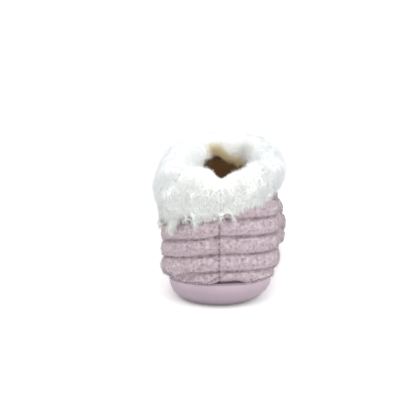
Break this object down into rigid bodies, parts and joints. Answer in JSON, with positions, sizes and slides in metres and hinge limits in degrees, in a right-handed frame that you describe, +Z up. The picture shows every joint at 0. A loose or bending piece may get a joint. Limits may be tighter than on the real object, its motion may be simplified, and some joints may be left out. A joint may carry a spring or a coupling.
{
  "type": "house slipper",
  "caption": "Closed-heel house slipper with a ribbed plush upper, a moulded cup sole, an insole and a deep fur collar round the foot opening.",
  "frame": {"origin": "on the floor under the widest line of the heel, at the middle of the heel's flat tread", "axes": "+Y from the heel to the toe, +Z up, +X towards the outer side of the right foot"},
  "size_m": [0.1015, 0.2739, 0.1096],
  "materials": {
    "sole_foam": "matt moulded dusty pink foam rubber",
    "insole_textile": "short brown textile",
    "plush": "short dusty pink plush in broad ribs",
    "fur": "long soft white faux fur"
  },
  "bodies": {
    "root": {"outsole": "sole_foam", "insole": "insole_textile", "upper": "plush", "fur_collar": "fur"}
  },
  "joints": []
}
